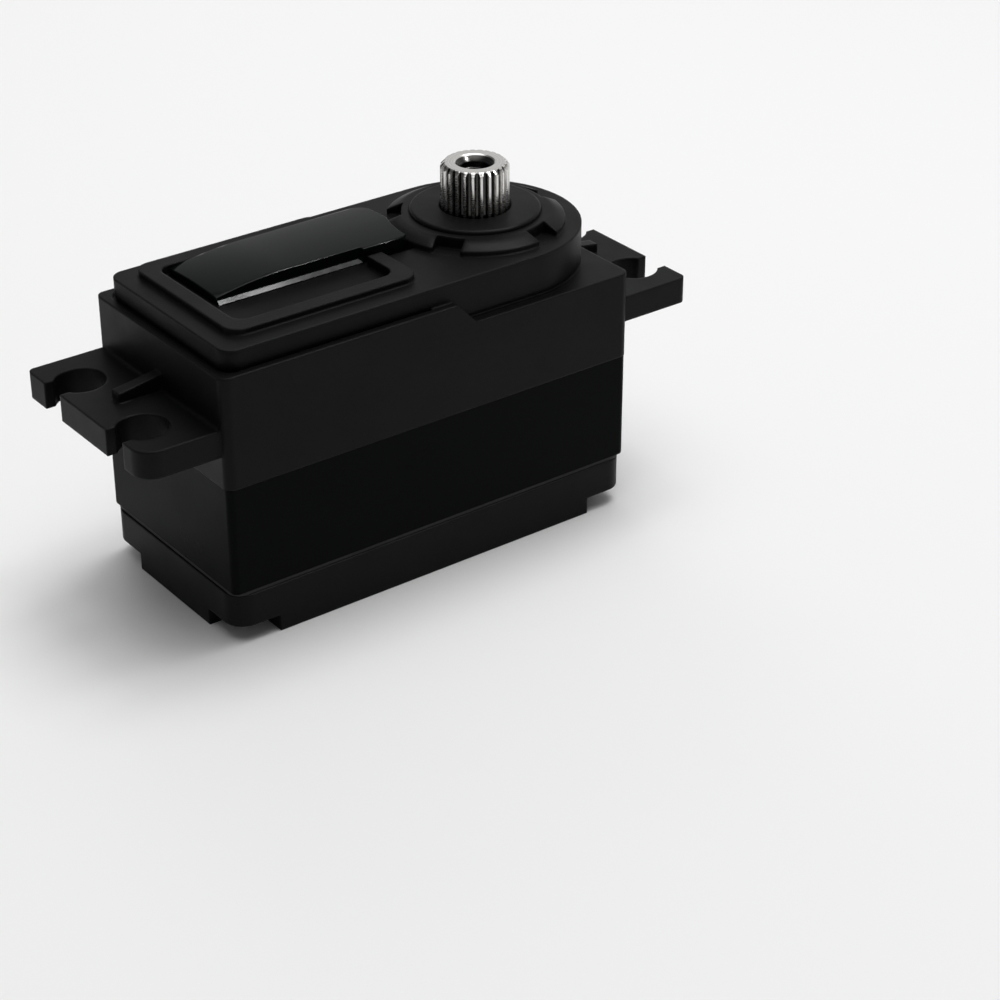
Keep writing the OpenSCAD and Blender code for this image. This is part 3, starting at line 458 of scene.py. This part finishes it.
def horn_thread():
    """Helical crest on the wall of the horn-screw hole, from its floor to its countersink."""
    mount = next(m for m in frame["record"]["mounts"] if m["name"] == "horn_screw_hole")
    centre = Vector(mount["pos_m"])
    length = mount["dims"]["length_mm"] * MM
    wall_r = mount["dims"]["r_mm"] * MM
    root_r = wall_r + THREAD_SINK
    crest_r = wall_r - THREAD_DEPTH
    profile = [
        (root_r, -THREAD_HALF_ROOT * THREAD_PITCH),
        (crest_r, -THREAD_HALF_CREST * THREAD_PITCH),
        (crest_r, THREAD_HALF_CREST * THREAD_PITCH),
        (root_r, THREAD_HALF_ROOT * THREAD_PITCH),
    ]
    turns = (length - 2 * THREAD_END_ROOM * THREAD_PITCH) / THREAD_PITCH
    steps = int(turns * THREAD_STEPS)
    bm = bmesh.new()
    rings = []
    for i in range(steps + 1):
        angle = 2 * math.pi * i / THREAD_STEPS
        z = centre.z - length / 2 + THREAD_PITCH * (THREAD_END_ROOM + i / THREAD_STEPS)
        fade = min(1.0, i / THREAD_STEPS, (steps - i) / THREAD_STEPS)
        ring = []
        for r, dz in profile:
            faded_r = root_r + (r - root_r) * fade
            x = centre.x + faded_r * math.cos(angle)
            y = centre.y + faded_r * math.sin(angle)
            ring.append(bm.verts.new((x, y, z + dz)))
        rings.append(ring)
    for a, b in zip(rings, rings[1:]):
        for k in range(len(profile)):
            n = (k + 1) % len(profile)
            bm.faces.new((a[k], a[n], b[n], b[k]))
    bm.faces.new(rings[0])
    bm.faces.new(reversed(rings[-1]))
    bmesh.ops.recalc_face_normals(bm, faces=bm.faces)
    mesh = bpy.data.meshes.new("horn_thread")
    bm.to_mesh(mesh)
    bm.free()
    add_piece("horn_thread", mesh, "output_shaft", "spline_steel")


horn_thread()


# ---------- Studio ----------


def direction(azimuth, elevation):
    """Unit vector towards a place in the studio."""
    a = math.radians(azimuth)
    e = math.radians(elevation)
    return Vector((math.sin(a) * math.cos(e), math.cos(a) * math.cos(e), math.sin(e)))


def aim(obj, way):
    """Turns a lamp or the camera to look that way."""
    obj.rotation_mode = "QUATERNION"
    obj.rotation_quaternion = way.to_track_quat("-Z", "Y")


def area_light(name, location, target, size, watts):
    data = bpy.data.lights.new(name, "AREA")
    data.energy = watts
    data.size = size
    obj = bpy.data.objects.new(name, data)
    bpy.context.scene.collection.objects.link(obj)
    obj.location = location
    aim(obj, Vector(target) - obj.location)
    return obj


def add_lights():
    """The lamps. The back lamp isn't mirrored, and the streak lamp is only seen mirrored."""
    area_light("key", KEY_AT, LAMP_TARGET, LAMP_SIZE, KEY_WATTS)
    back = area_light("back", BACK_AT, LAMP_TARGET, LAMP_SIZE, BACK_WATTS)
    back.visible_glossy = False
    streak_place = STREAK_TARGET + STREAK_DISTANCE * direction(*STREAK_TOWARDS)
    streak = area_light("streak", streak_place, STREAK_TARGET, STREAK_SIZE, STREAK_WATTS)
    streak.visible_diffuse = False


def add_floor():
    bpy.ops.mesh.primitive_plane_add(size=FLOOR_SIZE, location=(0, 0, 0))
    floor = bpy.context.object
    floor.name = "floor"
    m = Material("floor_white", FLOOR_COLOUR, FLOOR_ROUGHNESS, specular=FLOOR_SPECULAR)
    floor.data.materials.append(m.material)


def add_world():
    """Grey room, brighter overhead and at the horizon, with a wide glow behind the output end."""
    world = bpy.data.worlds.new("studio")
    bpy.context.scene.world = world
    world.use_nodes = True
    tree = world.node_tree

    def total(a, b):
        node = tree.nodes.new("ShaderNodeMath")
        node.operation = "ADD"
        tree.links.new(a, node.inputs[0])
        tree.links.new(b, node.inputs[1])
        return node.outputs["Value"]

    def ramp(value, low, high, out_low, out_high):
        node = tree.nodes.new("ShaderNodeMapRange")
        node.interpolation_type = "SMOOTHSTEP"
        tree.links.new(value, node.inputs["Value"])
        limits = {"From Min": low, "From Max": high, "To Min": out_low, "To Max": out_high}
        for name, number in limits.items():
            node.inputs[name].default_value = number
        return node.outputs["Result"]

    coords = tree.nodes.new("ShaderNodeTexCoord").outputs["Generated"]
    split = tree.nodes.new("ShaderNodeSeparateXYZ")
    tree.links.new(coords, split.inputs["Vector"])
    sine = split.outputs["Z"]
    overhead = ramp(sine, *OVERHEAD_SINES, ROOM_STRENGTH, OVERHEAD_STRENGTH)
    towards = tree.nodes.new("ShaderNodeVectorMath")
    towards.operation = "DOT_PRODUCT"
    tree.links.new(coords, towards.inputs[0])
    towards.inputs[1].default_value = direction(*GLOW_TOWARDS)
    edge, core = (math.cos(math.radians(a)) for a in GLOW_ANGLES)
    glow = ramp(towards.outputs["Value"], edge, core, 0.0, GLOW_STRENGTH)
    horizon = ramp(sine, *HORIZON_SINES, HORIZON_STRENGTH - ROOM_STRENGTH, 0.0)
    background = tree.nodes["Background"]
    background.inputs["Color"].default_value = (1, 1, 1, 1)
    tree.links.new(total(total(overhead, horizon), glow), background.inputs["Strength"])


def add_camera():
    data = bpy.data.cameras.new("camera")
    data.lens = CAMERA_LENS_MM
    data.sensor_width = SENSOR_MM
    data.clip_start = CAMERA_CLIP_START
    data.clip_end = CAMERA_CLIP_END
    camera = bpy.data.objects.new("camera", data)
    bpy.context.scene.collection.objects.link(camera)
    camera.location = CAMERA_AT
    aim(camera, -direction(*CAMERA_TOWARDS))
    bpy.context.scene.camera = camera


add_floor()
add_world()
add_lights()
add_camera()
bpy.context.scene.view_settings.view_transform = "Standard"
